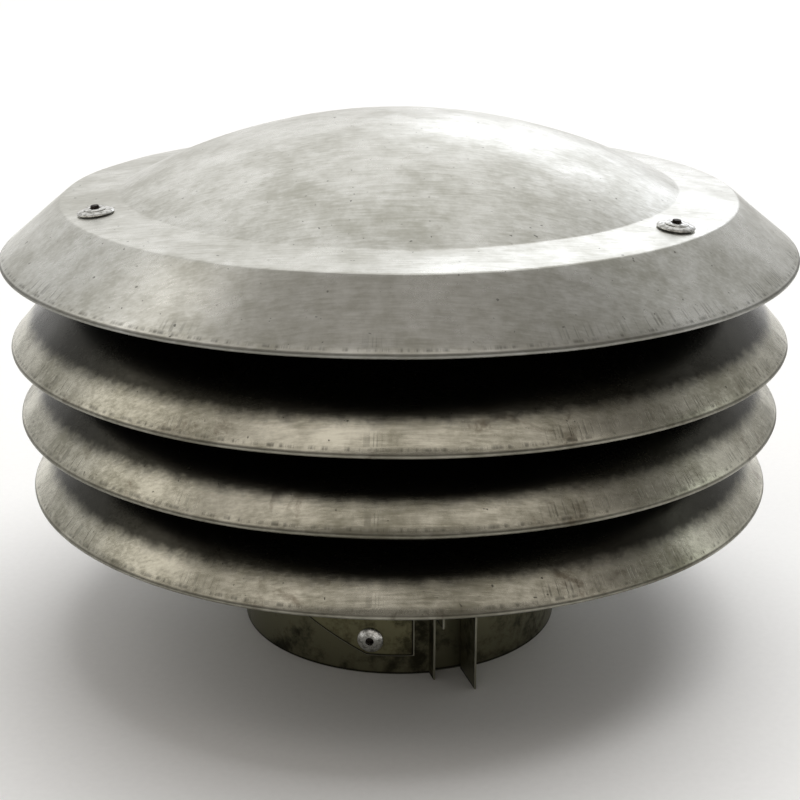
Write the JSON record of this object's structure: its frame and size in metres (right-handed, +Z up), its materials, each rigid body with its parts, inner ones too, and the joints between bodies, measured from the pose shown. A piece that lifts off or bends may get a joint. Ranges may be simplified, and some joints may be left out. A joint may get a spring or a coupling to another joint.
{
  "type": "louvred exhaust cowl with axial fan",
  "caption": "Round domed exhaust cowl with stacked flared louvre rings, a clamp-band duct collar and an axial fan inside.",
  "frame": {"origin": "centre of the duct collar's lower rim, at the bottom of the object", "axes": "+Z up along the collar's axis towards the domed lid; -Y towards the side with the riveted seam plate; +X to the right seen from that side"},
  "size_m": [0.237, 0.237, 0.1594],
  "materials": {
    "spun_aluminium": "weathered satin",
    "louvre_aluminium": "weathered satin, stained",
    "pan_aluminium": "sooted satin",
    "galvanised_sheet": "dull galvanised",
    "strut_strip": "sooted satin",
    "rivet_aluminium": "satin",
    "zinc_plated_steel": "dull zinc plated",
    "bearing_steel": "ground",
    "core_laminations": "laminated steel, varnished",
    "motor_paint": "satin black",
    "black_nylon": "matt"
  },
  "bodies": {
    "cowl": {"lid": "spun_aluminium", "louvre_upper": "louvre_aluminium", "louvre_middle": "louvre_aluminium", "louvre_lower": "louvre_aluminium", "base_pan": "pan_aluminium", "collar": "galvanised_sheet", "clamp_band": "galvanised_sheet", "seam_plate": "galvanised_sheet", "strut_1": "strut_strip", "strut_2": "strut_strip", "strut_3": "strut_strip", "lid_rivet_1": "rivet_aluminium", "lid_rivet_2": "rivet_aluminium", "lid_rivet_3": "rivet_aluminium", "seam_rivet": "rivet_aluminium", "louvre_rivet_upper_1": "rivet_aluminium", "louvre_rivet_upper_2": "rivet_aluminium", "louvre_rivet_upper_3": "rivet_aluminium", "louvre_rivet_middle_1": "rivet_aluminium", "louvre_rivet_middle_2": "rivet_aluminium", "louvre_rivet_middle_3": "rivet_aluminium", "louvre_rivet_lower_1": "rivet_aluminium", "louvre_rivet_lower_2": "rivet_aluminium", "louvre_rivet_lower_3": "rivet_aluminium", "pan_rivet_1": "rivet_aluminium", "pan_rivet_2": "rivet_aluminium", "pan_rivet_3": "rivet_aluminium", "neck_rivet_1": "rivet_aluminium", "neck_rivet_2": "rivet_aluminium", "neck_rivet_3": "rivet_aluminium", "clamp_nut": "zinc_plated_steel", "motor_bracket": "zinc_plated_steel", "bracket_screw_1": "zinc_plated_steel", "bracket_screw_2": "zinc_plated_steel", "bracket_screw_3": "zinc_plated_steel", "motor_screw_1": "zinc_plated_steel", "motor_screw_2": "zinc_plated_steel", "motor_screw_3": "zinc_plated_steel", "bearing_lower": "bearing_steel", "bearing_upper": "bearing_steel", "stator": "core_laminations", "motor_shell": "motor_paint", "motor_end_cap": "motor_paint", "terminal_box": "black_nylon", "terminal_lid": "black_nylon", "cable_gland": "black_nylon"},
    "rotor": {"shaft": "bearing_steel", "rotor_core": "core_laminations", "impeller": "black_nylon", "impeller_clip": "zinc_plated_steel"},
    "clamp_washer": {"clamp_washer": "zinc_plated_steel"},
    "clamp_screw": {"clamp_screw": "zinc_plated_steel"}
  },
  "joints": [
    {"name": "fan_spin", "type": "hinge", "parent": "cowl", "child": "rotor", "pos_m": [0, 0, 0.0619], "axis": [0, 0, 1], "continuous": true},
    {"name": "clamp_washer_slide", "type": "slide", "parent": "cowl", "child": "clamp_washer", "axis": [0.9603, 0.279, 0], "range_m": [0, 0.0028]},
    {"name": "clamp_screw_turn", "type": "hinge", "parent": "clamp_washer", "child": "clamp_screw", "pos_m": [0.01617, -0.05565, 0.0275], "axis": [0.9603, 0.279, 0], "range_deg": [0, 1441]}
  ],
  "couplings": [
    {"joint": "clamp_screw_turn", "follows": "clamp_washer_slide", "rad_per_m": 8976}
  ]
}
